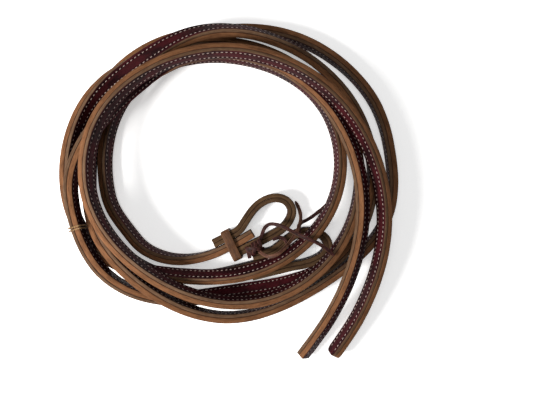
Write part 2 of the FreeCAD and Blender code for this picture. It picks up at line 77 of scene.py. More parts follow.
REIN_2_ROUTE = [
    (0.06653, -0.15495, 0.00776, -38.00), (0.08250, -0.13238, 0.01195, -39.99), (0.09630, -0.10794, 0.01624, -40.00), (0.10743, -0.08201, 0.02062, -40.00),
    (0.11532, -0.05491, 0.02393, -40.00), (0.11946, -0.02706, 0.02647, -40.00), (0.11919, 0.00108, 0.02658, -40.00), (0.11424, 0.02882, 0.02462, -40.23),
    (0.10471, 0.05516, 0.02304, -44.00), (0.09061, 0.07913, 0.02163, -49.51), (0.07189, 0.09973, 0.02059, -61.53), (0.04885, 0.11595, 0.02006, -71.08),
    (0.02257, 0.12672, 0.01976, -74.94), (-0.00557, 0.13113, 0.01973, -72.98), (-0.03340, 0.12844, 0.02002, -76.72), (-0.05817, 0.11843, 0.02066, -100.07),
    (-0.08089, 0.10277, 0.02166, -125.24), (-0.10275, 0.08339, 0.02307, -149.30), (-0.12206, 0.06107, 0.02534, -168.17), (-0.13669, 0.03643, 0.02876, -180.00),
    (-0.14335, 0.00989, 0.03169, -180.00), (-0.13976, -0.01804, 0.03303, -180.00), (-0.13027, -0.04598, 0.03378, -180.00), (-0.11487, -0.07102, 0.03330, -180.00),
    (-0.09284, -0.08936, 0.02625, -180.00), (-0.06652, -0.09866, 0.01802, -170.37), (-0.03851, -0.09928, 0.01389, -146.20), (-0.00979, -0.09543, 0.01148, -127.20),
    (0.01910, -0.09142, 0.00982, -120.01), (0.04768, -0.08739, 0.00869, -126.75), (0.07528, -0.07874, 0.00782, -157.15), (0.09969, -0.06398, 0.00693, -174.34),
    (0.11824, -0.04309, 0.00695, -180.00), (0.12955, -0.01743, 0.00725, -180.00), (0.13373, 0.01096, 0.00777, -180.00), (0.13116, 0.03986, 0.00859, -180.00),
    (0.12224, 0.06718, 0.00976, -180.00), (0.10772, 0.09173, 0.01132, -185.74), (0.08851, 0.11280, 0.01323, -194.08), (0.06548, 0.12967, 0.01546, -203.95),
    (0.03954, 0.14167, 0.01790, -213.26), (0.01186, 0.14818, 0.02046, -219.99), (-0.01620, 0.14863, 0.02180, -229.90), (-0.04329, 0.14245, 0.02177, -249.85),
    (-0.06858, 0.12990, 0.02196, -273.46), (-0.09349, 0.11470, 0.02246, -299.87), (-0.11724, 0.09810, 0.02282, -327.83), (-0.13521, 0.07651, 0.02222, -344.62),
    (-0.14677, 0.05063, 0.02091, -350.95), (-0.15251, 0.02253, 0.01933, -355.01), (-0.15140, -0.00574, 0.01786, -356.00), (-0.14229, -0.03219, 0.01725, -353.91),
    (-0.12462, -0.05433, 0.01817, -348.68), (-0.10040, -0.06818, 0.02050, -341.80), (-0.07246, -0.07407, 0.02140, -332.05), (-0.04339, -0.07717, 0.02151, -325.00),
    (-0.01446, -0.07792, 0.02249, -325.00), (0.01376, -0.07426, 0.02317, -325.00), (0.04053, -0.06458, 0.02344, -329.53), (0.06439, -0.04914, 0.02250, -336.64),
    (0.08367, -0.02871, 0.02018, -342.68), (0.09667, -0.00409, 0.01665, -346.00), (0.10215, 0.02347, 0.01312, -346.00), (0.09997, 0.05146, 0.00986, -346.26),
    (0.09019, 0.07718, 0.00771, -350.88), (0.07310, 0.09822, 0.00696, -355.00), (0.05033, 0.11405, 0.00694, -355.00), (0.02373, 0.12459, 0.00701, -354.96),
    (-0.00470, 0.12992, 0.00712, -351.81), (-0.03304, 0.12997, 0.00726, -348.03), (-0.05975, 0.12420, 0.00733, -347.02), (-0.08340, 0.11197, 0.00736, -347.00),
    (-0.10255, 0.09270, 0.00740, -347.00), (-0.11576, 0.06759, 0.00749, -347.00), (-0.12162, 0.04004, 0.00765, -347.00), (-0.12137, 0.01264, 0.00772, -347.00),
    (-0.11611, -0.01324, 0.00771, -347.00), (-0.09947, -0.03628, 0.00773, -347.00), (-0.08398, -0.05471, 0.00784, -347.86), (-0.05829, -0.06422, 0.00804, -350.01),
    (-0.03137, -0.06277, 0.00830, -359.63), (-0.00521, -0.05319, 0.00860, -360.00), (0.01901, -0.03838, 0.00860, -360.00),
]
LOOP_1_ROUTE = [
    (0.01908, -0.06006, 0.00860, 0.00), (0.02491, -0.05865, 0.00860, 0.00), (0.03172, -0.05701, 0.00860, 0.00), (0.03852, -0.05536, 0.00860, 0.00),
    (0.04893, -0.04658, 0.00760, 0.00), (0.05737, -0.04048, 0.00635, 0.00), (0.06769, -0.03673, 0.00635, 0.00), (0.07800, -0.03720, 0.00635, 0.00),
    (0.08738, -0.04189, 0.00635, 0.00), (0.09113, -0.05033, 0.00635, 0.00), (0.08785, -0.05830, 0.00635, 0.00), (0.07941, -0.06392, 0.00635, 0.00),
    (0.06769, -0.06767, 0.00760, 0.00), (0.05726, -0.06904, 0.00860, 0.00), (0.04754, -0.07139, 0.00860, 0.00), (0.03782, -0.07374, 0.00860, 0.00),
    (0.02810, -0.07609, 0.00860, 0.00), (0.01838, -0.07844, 0.00860, 0.00),
]
LOOP_2_ROUTE = [
    (-0.01760, -0.04812, 0.00860, 0.00), (-0.00957, -0.04404, 0.00860, 0.00), (-0.00155, -0.03997, 0.00860, 0.00), (0.00692, -0.03567, 0.00860, 0.00),
    (0.01284, -0.02548, 0.00760, 0.00), (0.02081, -0.01423, 0.00635, 0.00), (0.03018, -0.00720, 0.00635, 0.00), (0.04143, -0.00438, 0.00635, 0.00),
    (0.05175, -0.00766, 0.00635, 0.00), (0.05690, -0.01657, 0.00635, 0.00), (0.05409, -0.02642, 0.00635, 0.00), (0.04612, -0.03532, 0.00760, 0.00),
    (0.03143, -0.04308, 0.00860, 0.00), (0.02341, -0.04715, 0.00860, 0.00), (0.01538, -0.05123, 0.00860, 0.00), (0.00736, -0.05530, 0.00860, 0.00),
    (-0.00067, -0.05938, 0.00860, 0.00),
]
LACE_1_LONG = [
    (0.06363, -0.03823, 0.01456), (0.06130, -0.03314, 0.01386), (0.06362, -0.02889, 0.01109), (0.07061, -0.02629, 0.00739),
    (0.08003, -0.02022, 0.00449), (0.09082, -0.01110, 0.00242), (0.09859, -0.00334, 0.00088),
]
LACE_1_ARC = [
    (0.03774, -0.04418, 0.01588), (0.04381, -0.04116, 0.01559), (0.04900, -0.04357, 0.01514), (0.05221, -0.04915, 0.01518),
    (0.05280, -0.05468, 0.01390), (0.05039, -0.05931, 0.00929),
]
LACE_2_LONG = [
    (0.02358, -0.04756, 0.01840), (0.02705, -0.04193, 0.01751), (0.02857, -0.03708, 0.01702), (0.03055, -0.03222, 0.01727),
    (0.03559, -0.02873, 0.01846), (0.04387, -0.03026, 0.02071), (0.05211, -0.03397, 0.02398), (0.06006, -0.03826, 0.02809),
    (0.06878, -0.04179, 0.03110), (0.07776, -0.04531, 0.03123), (0.08600, -0.05103, 0.03002), (0.09299, -0.05727, 0.02882),
]
LACE_2_SIDE = [
    (0.05999, -0.00854, 0.00079), (0.06326, -0.01508, 0.00509), (0.06466, -0.02235, 0.00980), (0.06356, -0.02933, 0.01473),
    (0.06033, -0.03645, 0.01860), (0.05482, -0.04393, 0.02260), (0.04886, -0.05059, 0.02660), (0.04275, -0.05564, 0.02960),
    (0.03607, -0.05840, 0.02880), (0.03007, -0.05774, 0.02420), (0.02487, -0.05419, 0.01840),
]
KEEPER_AT = (-0.00066, -0.04945)
STACK_DIR = (0.89169, 0.45264)
KNOT_AT = (0.02120, -0.05154, 0.01830)
TIE_SPAN = 21.00

MM = 0.001
STRAP_WIDTH = 12.7 * MM
HALF_THICK = 4.2 * MM
SEAM = -0.8 * MM
ROW = 3.6 * MM
PITCH = 4.2 * MM


# ---------------------------------------------------------------- lines
def curve_points(rows, resolution):
    """The points Blender gives for one open NURBS curve through these control points."""
    data = bpy.data.curves.new("line", "CURVE")
    data.dimensions = "3D"
    data.resolution_u = resolution
    spline = data.splines.new("NURBS")
    spline.points.add(len(rows) - 1)
    for point, row in zip(spline.points, rows):
        point.co = (row[0], row[1], row[2], 1.0)
    spline.order_u = 3
    spline.use_endpoint_u = True
    spline.resolution_u = resolution
    ob = bpy.data.objects.new("line", data)
    bpy.context.scene.collection.objects.link(ob)
    bpy.context.view_layer.update()
    mesh = bpy.data.meshes.new_from_object(ob)
    found = np.empty(len(mesh.vertices) * 3)
    mesh.vertices.foreach_get("co", found)
    bpy.data.objects.remove(ob)
    bpy.data.meshes.remove(mesh)
    bpy.data.curves.remove(data)
    return found.reshape(-1, 3)


class Line:
    """A route with the strap's own frame along it: t along it, thick outward across the thickness, width up the width."""

    def __init__(self, rows, resolution):
        self.p = curve_points([r[:3] for r in rows], resolution)
        if len(rows[0]) > 3:
            # the roll goes through the same spline, so it keeps step with the points
            roll = curve_points([(r[3] / 1000.0, i * 0.001, 0.0) for i, r in enumerate(rows)], resolution)[:, 0] * 1000.0
        else:
            roll = np.zeros(len(self.p))
        self.roll = np.radians(roll)
        step = np.linalg.norm(np.diff(self.p, axis=0), axis=1)
        self.s = np.concatenate([[0.0], np.cumsum(step)])
        self.length = float(self.s[-1])
        t = np.gradient(self.p, axis=0) / np.maximum(np.gradient(self.s)[:, None], 1e-9)
        self.t = t / np.linalg.norm(t, axis=1)[:, None]
        self.u = np.linspace(0.0, len(rows) - 2.0, len(self.p))

    def at(self, q):
        q = np.asarray(q, dtype=float)
        flat = q.ravel()
        inside = np.clip(flat, 0.0, self.length)
        p = np.stack([np.interp(inside, self.s, self.p[:, k]) for k in range(3)], axis=1)
        t = np.stack([np.interp(inside, self.s, self.t[:, k]) for k in range(3)], axis=1)
        t /= np.linalg.norm(t, axis=1)[:, None]
        roll = np.interp(inside, self.s, self.roll)
        p = p + t * (flat - inside)[:, None]
        f = np.hypot(t[:, 0], t[:, 1])
        out = np.stack([t[:, 1] / f, -t[:, 0] / f, np.zeros(len(t))], axis=1)
        up = np.cross(out, t)
        up /= np.linalg.norm(up, axis=1)[:, None]
        up[up[:, 2] < 0] *= -1.0
        c, s = np.cos(roll)[:, None], np.sin(roll)[:, None]
        width = c * up + s * out
        thick = c * out - s * up
        shape = q.shape + (3,)
        return p.reshape(shape), t.reshape(shape), thick.reshape(shape), width.reshape(shape)

    def path(self, count, low=None, high=None):
        q = np.linspace(0.0 if low is None else low, self.length if high is None else high, count)
        return [tuple(float(c) for c in v) for v in self.at(q)[0]]


def wander(s, scale, seed, amount):
    """A smooth uneven line: the same each time for one seed."""
    rng = np.random.RandomState(seed)
    total = np.zeros_like(s)
    for k in range(5):
        total = total + np.sin(2 * math.pi * (s * (0.55 + 0.45 * k + 0.2 * rng.rand()) / scale + rng.rand()))
    return amount * total / 2.2


def rough(s, k, seed, amount):
    rng = np.random.RandomState(seed)
    return amount * (rng.rand(len(s), k) - 0.5)


# ---------------------------------------------------------------- meshes
def make_mesh(name, verts, quads, tris=None, attributes=None, smooth=True):
    """verts (n, 3), quads (m, 4), tris (k, 3), turned so that the faces look out."""
    tris = np.zeros((0, 3), dtype=np.int64) if tris is None or len(tris) == 0 else np.asarray(tris)
    quads = np.asarray(quads)
    corners = np.concatenate([quads.ravel(), tris.ravel()])
    v = verts
    split = np.concatenate([quads[:, [0, 1, 2]], quads[:, [0, 2, 3]], tris]) if len(quads) else tris
    volume = np.einsum("ij,ij->i", v[split[:, 0]], np.cross(v[split[:, 1]], v[split[:, 2]])).sum()
    if volume < 0:
        corners = np.concatenate([quads[:, ::-1].ravel(), tris[:, ::-1].ravel()])
    mesh = bpy.data.meshes.new(name)
    mesh.vertices.add(len(verts))
    mesh.vertices.foreach_set("co", np.ascontiguousarray(verts, dtype=np.float32).ravel())
    mesh.loops.add(len(corners))
    mesh.loops.foreach_set("vertex_index", corners.astype(np.int32))
    starts = np.concatenate([np.arange(len(quads)) * 4, len(quads) * 4 + np.arange(len(tris)) * 3])
    totals = np.concatenate([np.full(len(quads), 4), np.full(len(tris), 3)])
    mesh.polygons.add(len(starts))
    mesh.polygons.foreach_set("loop_start", starts.astype(np.int32))
    mesh.polygons.foreach_set("loop_total", totals.astype(np.int32))
    mesh.polygons.foreach_set("use_smooth", np.full(len(starts), smooth))
    mesh.update(calc_edges=True)
    for key, values in (attributes or {}).items():
        values = np.ascontiguousarray(values, dtype=np.float32)
        if values.ndim == 2:
            mesh.attributes.new(key, "FLOAT_VECTOR", "POINT").data.foreach_set("vector", values.ravel())
        else:
            mesh.attributes.new(key, "FLOAT", "POINT").data.foreach_set("value", values)
    mesh.validate()
    ob = bpy.data.objects.new(name, mesh)
    bpy.context.scene.collection.objects.link(ob)
    return ob


def tube_faces(rings, around, offset=0):
    i = np.arange(rings - 1)[:, None] * around
    j = np.arange(around)[None, :]
    k = (j + 1) % around
    return offset + np.stack([i + j, i + k, i + around + k, i + around + j], axis=-1).reshape(-1, 4)


def fan(first, around, centre):
    j = np.arange(around)
    return np.stack([first + j, first + (j + 1) % around, np.full(around, centre)], axis=1)


def sweep(name, line, q, n, w, marks=None, shrink=None):
    """A closed section (n and w, one row a station) along a line, with fans on its ends."""
    p, t, thick, width = line.at(q)
    stations, around = n.shape
    grid = p[:, None] + n[..., None] * thick[:, None] + w[..., None] * width[:, None]
    verts = grid.reshape(-1, 3)
    ends = np.stack([grid[0].mean(axis=0), grid[-1].mean(axis=0)])
    verts = np.concatenate([verts, ends])
    quads = tube_faces(stations, around)
    a = stations * around
    tris = np.concatenate([fan(0, around, a)[:, ::-1], fan((stations - 1) * around, around, a + 1)])
    strap = np.stack([np.repeat(q, around), w.ravel(), n.ravel()], axis=1)
    strap = np.concatenate([strap, [[q[0], w[0].mean(), n[0].mean()], [q[-1], w[-1].mean(), n[-1].mean()]]])
    attributes = {"strap": strap}
    for key, values in (marks or {}).items():
        values = np.asarray(values)
        full = np.tile(values, stations) if values.ndim == 1 else values.ravel()
        attributes[key] = np.concatenate([full, [1.0, 1.0] if key == "edge" else [0.0, 0.0]])
    return make_mesh(name, verts, quads, tris, attributes)


def ply_section(n_seam, n_face):
    """One layer of the strap: its crowned face with two stitch grooves, burnished corners and the seam's small bevel."""
    sign = 1.0 if n_face > n_seam else -1.0
    depth = abs(n_face - n_seam) / MM
    side = [(0.0, -0.05, 0.0, 0.0), (1.6, -0.04, 0.0, 0.0), (2.75, 0.0, 0.0, 0.0), (3.05, 0.05, 0.0, 0.0), (3.3, 0.19, 0.0, 0.0), (3.6, 0.28, 0.0, 0.0),
            (3.9, 0.19, 0.0, 0.0), (4.15, 0.05, 0.0, 0.0), (4.5, 0.0, 0.0, 0.0), (5.2, 0.0, 0.02, 0.0), (5.7, 0.05, 0.15, 0.0), (6.02, 0.17, 0.45, 0.0),
            (6.22, 0.38, 0.8, 0.0), (6.33, 0.72, 1.0, 0.0)]
    for f in (0.2, 0.42, 0.64, 0.86):
        d = 0.72 + f * (depth - 0.72 - 0.42)
        side.append((6.35 + 0.10 * math.sin(math.pi * f), d, 1.0, 0.0))
    side += [(6.30, depth - 0.34, 1.0, 0.25), (6.12, depth - 0.12, 1.0, 1.0), (5.85, depth - 0.01, 1.0, 1.0), (3.0, depth - 0.01, 1.0, 1.0)]
    ring = side + [(0.0, depth - 0.01, 1.0, 1.0)] + [(-r[0], r[1], r[2], r[3]) for r in reversed(side[1:])]
    ring = np.array(ring)
    w = ring[:, 0] * MM
    n = n_face - sign * ring[:, 1] * MM
    return n, w, ring[:, 2], ring[:, 3], sign


def ply(name, line, n_seam, n_face, seed, round_start=0.0, spacing=1.4 * MM):
    n0, w0, edge, seam, sign = ply_section(n_seam, n_face)
    near = np.array([0.0, 0.12, 0.4, 0.8, 1.3, 1.9, 2.6, 3.4]) * MM
    inner = np.linspace(4.4 * MM, line.length - 4.4 * MM, max(3, int((line.length - 8.8 * MM) / spacing)))
    q = np.concatenate([near, inner, line.length - near[::-1]])
    to_start, to_end = q, line.length - q
    # the ends are burnished: the last 0.4 mm draws in a little
    def drawn(d):
        return 1.0 - 0.09 * np.clip(1.0 - d / (0.4 * MM), 0.0, 1.0) ** 2
    draw = drawn(to_start) * drawn(to_end)
    w = w0[None] * draw[:, None]
    if round_start:
        # a rounded tail: the width draws in over its last few millimetres
        x = np.clip(1.0 - to_start / round_start, 0.0, 1.0)
        w = w * (0.52 + 0.48 * np.sqrt(np.clip(1.0 - x ** 2, 0.0, 1.0)))[:, None]
    mid = (n_seam + n_face) / 2
    n = mid + (n0[None] - mid) * draw[:, None]
    on_edge = edge * (1.0 - seam) * np.sign(w0)
    for k, (side, s0) in enumerate(((1.0, seed), (-1.0, seed + 50))):
        here = np.where(on_edge * side > 0, np.abs(on_edge), 0.0)
        w = w + side * here[None] * (wander(q, 34 * MM, s0, 0.07 * MM) + wander(q, 7 * MM, s0 + 1, 0.035 * MM))[:, None]
    w = w + on_edge[None] * rough(q, len(w0), seed + 2, 0.05 * MM)
    face = (1.0 - edge)
    n = n + sign * face[None] * (wander(q, 60 * MM, seed + 3, 0.035 * MM) + wander(q, 11 * MM, seed + 4, 0.018 * MM))[:, None]
    ob = sweep(name, line, q, n, w, {"edge": edge, "seam": seam})
    return ob


def stitches(name, line, start, stop, seed, faces=(1.0, -1.0), half=HALF_THICK):
    """Every stitch of two rows on each face: a short thread that dives into its holes at both ends."""
    rng = np.random.RandomState(seed)
    a = np.array([-1.12, -0.82, 0.0, 0.82, 1.12]) * MM
    sunk = np.array([0.52, 0.20, 0.07, 0.20, 0.52]) * MM
    size = np.array([0.40, 0.92, 1.0, 0.92, 0.40])
    angle = np.arange(6) * math.pi / 3 + math.pi / 6
    count = int((stop - start) / PITCH)
    base = start + (np.arange(count) + 0.5) * PITCH
    verts, quads, tris, strap, tone = [], [], [], [], []
    offset = 0
    for face in faces:
        for row in (-ROW, ROW):
            s = base + (rng.rand(count) - 0.5) * 0.16 * MM
            slant = math.tan(math.radians(7.0)) * face + (rng.rand(count) - 0.5) * 0.07
            q = s[:, None] + a[None]
            p, t, thick, width = line.at(q)
            centre_n = face * (half - sunk)[None] + np.zeros_like(q) + (rng.rand(count, 1) - 0.5) * 0.06 * MM
            centre_w = row + slant[:, None] * a[None]
            n = centre_n[..., None] + face * 0.27 * MM * size[None, :, None] * np.sin(angle)[None, None]
            w = centre_w[..., None] + 0.42 * MM * size[None, :, None] * np.cos(angle)[None, None] * face
            grid = p[:, :, None] + n[..., None] * thick[:, :, None] + w[..., None] * width[:, :, None]
            verts.append(grid.reshape(-1, 3))
            one = tube_faces(5, 6)
            each = np.arange(count)[:, None, None] * 30 + offset
            quads.append((one[None] + each).reshape(-1, 4))
            cap = np.array([[0, 2, 1], [0, 3, 2], [0, 4, 3], [0, 5, 4], [24, 25, 26], [24, 26, 27], [24, 27, 28], [24, 28, 29]])
            tris.append((cap[None] + each).reshape(-1, 3))
            along = np.broadcast_to(a[None, :, None], grid.shape[:3])
            turn = np.broadcast_to(angle[None, None], grid.shape[:3]) * MM
            ident = np.broadcast_to((np.arange(count) * 0.01 + row * 7)[:, None, None], grid.shape[:3])
            strap.append(np.stack([along, turn, ident], axis=-1).reshape(-1, 3))
            tone.append(np.broadcast_to(rng.rand(count)[:, None, None], grid.shape[:3]).ravel())
            offset += count * 30
    return make_mesh(name, np.concatenate(verts), np.concatenate(quads), np.concatenate(tris),
                     {"strap": np.concatenate(strap), "tone": np.concatenate(tone)})


def lace(name, line, seed, wide=3.4 * MM, thick=1.4 * MM, twist=9.0, point=(True, True)):
    """A flat lace: rounded edges, a slight hollow along its flesh side, and ends cut to a slant."""
    q = np.concatenate([np.array([0.0, 0.15, 0.5]) * MM, np.linspace(1.0 * MM, line.length - 1.0 * MM, int(line.length / (0.55 * MM))), line.length - np.array([0.5, 0.15, 0.0]) * MM])
    a = np.array([(-0.5, 0.10), (-0.48, 0.36), (-0.40, 0.49), (-0.2, 0.50), (0.0, 0.47), (0.2, 0.50), (0.40, 0.49), (0.48, 0.36), (0.5, 0.10),
                  (0.5, -0.12), (0.47, -0.38), (0.38, -0.49), (0.15, -0.47), (-0.15, -0.47), (-0.38, -0.49), (-0.47, -0.38), (-0.5, -0.12)])
    grow = 1.0 + wander(q, 16 * MM, seed, 0.05)
    ends = np.ones_like(q)
    for on, d in zip(point, (q, line.length - q)):
        if on:
            ends = ends * (0.35 + 0.65 * np.clip(d / (3.2 * MM), 0, 1) ** 0.7)
    n0 = a[None, :, 0] * wide * (grow * ends)[:, None]
    w0 = a[None, :, 1] * thick * (1.0 + wander(q, 9 * MM, seed + 1, 0.05))[:, None]
    turn = np.radians(twist) * wander(q, 46 * MM, seed + 2, 1.0)
    c, s = np.cos(turn)[:, None], np.sin(turn)[:, None]
    n = c * n0 - s * w0
    w = s * n0 + c * w0
    edge = np.clip((np.abs(a[:, 0]) - 0.43) / 0.07, 0, 1)
    return sweep(name, line, q, n, w, {"edge": edge})


# ---------------------------------------------------------------- materials
def new_material(name):
    m = bpy.data.materials.new(name)
    m.use_nodes = True
    m.node_tree.nodes.clear()
    return m, m.node_tree


class Nodes:
    """A little shorthand for node trees."""

    def __init__(self, tree):
        self.tree = tree

    def add(self, kind, **settings):
        node = self.tree.nodes.new(kind)
        for key, value in settings.items():
            setattr(node, key, value)
        return node

    def put(self, socket, value):
        if hasattr(value, "is_output"):
            self.tree.links.new(value, socket)
        else:
            socket.default_value = value

    def attribute(self, name, kind="Fac"):
        return self.add("ShaderNodeAttribute", attribute_name=name).outputs[kind]

    def math(self, op, a, b=None, c=None, clamp=False):
        node = self.add("ShaderNodeMath", operation=op, use_clamp=clamp)
        for i, value in enumerate((a, b, c)):
            if value is not None:
                self.put(node.inputs[i], value)
        return node.outputs[0]

    def scaled(self, vector, scale):
        node = self.add("ShaderNodeVectorMath", operation="MULTIPLY")
        self.put(node.inputs[0], vector)
        node.inputs[1].default_value = scale
        return node.outputs[0]

    def noise(self, vector, scale=1.0, detail=2.0, rough=0.5, distortion=0.0):
        node = self.add("ShaderNodeTexNoise")
        self.put(node.inputs["Vector"], vector)
        node.inputs["Scale"].default_value = scale
        node.inputs["Detail"].default_value = detail
        node.inputs["Roughness"].default_value = rough
        node.inputs["Distortion"].default_value = distortion
        return node.outputs["Fac"]

    def cells(self, vector, scale, feature="DISTANCE_TO_EDGE"):
        node = self.add("ShaderNodeTexVoronoi", feature=feature)
        self.put(node.inputs["Vector"], vector)
        node.inputs["Scale"].default_value = scale
        return node.outputs["Distance"]

    def range(self, value, low, high, to_low=0.0, to_high=1.0, smooth=False):
        node = self.add("ShaderNodeMapRange")
        if smooth:
            node.interpolation_type = "SMOOTHSTEP"
        self.put(node.inputs["Value"], value)
        node.inputs["From Min"].default_value = low
        node.inputs["From Max"].default_value = high
        node.inputs["To Min"].default_value = to_low
        node.inputs["To Max"].default_value = to_high
        return node.outputs["Result"]

    def ramp(self, value, stops):
        node = self.add("ShaderNodeValToRGB")
        self.put(node.inputs["Fac"], value)
        elements = node.color_ramp.elements
        while len(elements) < len(stops):
            elements.new(0.5)
        for element, (at, colour) in zip(elements, stops):
            element.position = at
            element.color = (*colour, 1.0)
        return node.outputs["Color"]

    def mix(self, factor, a, b, blend="MIX"):
        node = self.add("ShaderNodeMix", data_type="RGBA", blend_type=blend)
        self.put(node.inputs["Factor"], factor)
        for socket, value in ((node.inputs[6], a), (node.inputs[7], b)):
            self.put(socket, value if hasattr(value, "is_output") else (*value, 1.0))
        return node.outputs[2]

    def bump(self, height, distance, strength=1.0, normal=None):
        node = self.add("ShaderNodeBump")
        node.inputs["Strength"].default_value = strength
        node.inputs["Distance"].default_value = distance
        self.put(node.inputs["Height"], height)
        if normal is not None:
            self.put(node.inputs["Normal"], normal)
        return node.outputs["Normal"]

    def finish(self, colour, roughness, normal, specular=0.5, coat=0.0, coat_rough=0.3, sheen=0.0):
        shader = self.add("ShaderNodeBsdfPrincipled")
        out = self.add("ShaderNodeOutputMaterial")
        self.put(shader.inputs["Base Color"], colour)
        self.put(shader.inputs["Roughness"], roughness)
        if normal is not None:
            self.put(shader.inputs["Normal"], normal)
        shader.inputs["Specular IOR Level"].default_value = specular
        shader.inputs["Coat Weight"].default_value = coat
        shader.inputs["Coat Roughness"].default_value = coat_rough
        shader.inputs["Sheen Weight"].default_value = sheen
        self.tree.links.new(shader.outputs["BSDF"], out.inputs["Surface"])
        return shader


def rgb(code):
    """A hex colour as linear values."""
    return tuple(((int(code[i:i + 2], 16) / 255.0 + 0.055) / 1.055) ** 2.4 if int(code[i:i + 2], 16) > 10 else int(code[i:i + 2], 16) / 255.0 / 12.92 for i in (1, 3, 5))


def strap_leather(name, dark, light, edge_dark, edge_mid, edge_light, seam_colour, holes=True):
    """Oiled strap leather: grained face, fibrous cut edge, dark seam, and painted shade in the stitch grooves."""
    material, tree = new_material(name)
    k = Nodes(tree)
    strap = k.attribute("strap", "Vector")
    edge = k.attribute("edge")
    seam = k.attribute("seam")
    split = k.add("ShaderNodeSeparateXYZ")
    k.put(split.inputs[0], strap)
    along, across = split.outputs[0], split.outputs[1]

    # face
    cloud = k.noise(k.scaled(strap, (45.0, 120.0, 120.0)), 1.0, 3.0, 0.6)
    face = k.mix(k.range(cloud, 0.32, 0.7, smooth=True), rgb(dark), rgb(light))
    pores = k.noise(k.scaled(strap, (1500.0, 1500.0, 1500.0)), 1.0, 2.0, 0.6)
    face = k.mix(k.range(pores, 0.35, 0.6, 0.45, 0.0), face, rgb("#080304"))
    pull = k.noise(k.scaled(strap, (60.0, 900.0, 900.0)), 1.0, 3.0, 0.55)
    face = k.mix(k.range(pull, 0.55, 0.75, 0.0, 0.30), face, rgb("#4A1E1C"))

    # cut edge: long fibres, mottled by the burnishing
    fibre = k.noise(k.scaled(strap, (170.0, 2400.0, 2400.0)), 1.0, 4.0, 0.62, 0.4)
    mottle = k.noise(k.scaled(strap, (55.0, 260.0, 260.0)), 1.0, 3.0, 0.55)
    speck = k.noise(k.scaled(strap, (900.0, 2600.0, 2600.0)), 1.0, 2.0, 0.6)
    tone = k.math("ADD", k.math("MULTIPLY", fibre, 0.68), k.math("MULTIPLY", mottle, 0.32))
    side = k.ramp(tone, [(0.34, rgb(edge_dark)), (0.47, rgb(edge_mid)), (0.6, rgb(edge_light))])
    side = k.mix(k.range(speck, 0.62, 0.74, 0.0, 0.45), side, rgb(edge_dark))
    side = k.mix(k.range(seam, 0.0, 1.0, 0.0, 0.85), side, rgb(seam_colour))

    # the worn corner breaks up where face meets edge
    worn = k.noise(k.scaled(strap, (240.0, 900.0, 900.0)), 1.0, 3.0, 0.6)
    share = k.range(k.math("ADD", edge, k.math("MULTIPLY", k.math("SUBTRACT", worn, 0.5), 0.7)), 0.35, 0.75, smooth=True)
    corner = k.math("MULTIPLY", k.range(edge, 0.3, 0.75), k.range(edge, 1.0, 0.75), clamp=True)
    colour = k.mix(share, face, side)
    colour = k.mix(k.math("MULTIPLY", corner, 0.35), colour, rgb(edge_dark))

    # stitch groove: painted shade, each groove darkened towards near-black along its row
    off = k.math("SUBTRACT", k.math("ABSOLUTE", across), ROW)
    painted_groove_shade = k.range(k.math("ABSOLUTE", off), 0.95 * MM, 0.35 * MM, smooth=True)
    painted_groove_shade = k.math("MULTIPLY", painted_groove_shade, k.math("SUBTRACT", 1.0, edge, clamp=True))
    colour = k.mix(k.math("MULTIPLY", painted_groove_shade, 0.6), colour, rgb("#0A0404"))

    grain = k.cells(k.scaled(strap, (1700.0, 2100.0, 2100.0)), 1.0)
    crease = k.noise(k.scaled(strap, (420.0, 90.0, 90.0)), 1.0, 3.0, 0.6)
    face_height = k.math("ADD", k.math("MULTIPLY", k.range(grain, 0.0, 0.18), 0.55), k.math("MULTIPLY", crease, 0.7))
    side_height = k.math("ADD", k.math("MULTIPLY", fibre, 1.5), k.math("MULTIPLY", speck, 0.6))
    blend = k.add("ShaderNodeMix", data_type="FLOAT")
    k.put(blend.inputs[0], share)
    k.put(blend.inputs[2], face_height)
    k.put(blend.inputs[3], side_height)
    normal = k.bump(blend.outputs[0], 0.00016, 0.85)
    rough_face = k.range(cloud, 0.3, 0.7, 0.46, 0.62)
    rough_side = k.range(fibre, 0.3, 0.7, 0.62, 0.86)
    rough_mix = k.add("ShaderNodeMix", data_type="FLOAT")
    k.put(rough_mix.inputs[0], share)
    k.put(rough_mix.inputs[2], rough_face)
    k.put(rough_mix.inputs[3], rough_side)
    k.finish(colour, rough_mix.outputs[0], normal, specular=0.06)
    return material


def thread_material(name, clean, dirty):
    material, tree = new_material(name)
    k = Nodes(tree)
    strap = k.attribute("strap", "Vector")
    tone = k.attribute("tone")
    split = k.add("ShaderNodeSeparateXYZ")
    k.put(split.inputs[0], strap)
    # the thread's plies run slantwise round it
    phase = k.math("ADD", k.math("MULTIPLY", split.outputs[0], 2 * math.pi / (0.75 * MM)), k.math("MULTIPLY", split.outputs[1], 1.0 / MM))
    wave = k.math("SINE", phase)
    soil = k.noise(k.scaled(strap, (700.0, 300.0, 90.0)), 1.0, 2.0, 0.6)
    amount = k.math("ADD", k.math("MULTIPLY", tone, 0.45), k.math("MULTIPLY", k.range(soil, 0.35, 0.7), 0.5), clamp=True)
    colour = k.mix(amount, rgb(clean), rgb(dirty))
    # painted shade: the troughs between the twisted plies are darkened
    colour = k.mix(k.range(wave, -1.0, -0.2, 0.4, 0.0), colour, rgb("#4A302C"))
    normal = k.bump(wave, 0.00007, 0.8)
    k.finish(colour, k.range(soil, 0.3, 0.7, 0.5, 0.72), normal, specular=0.35, sheen=0.15)
    return material


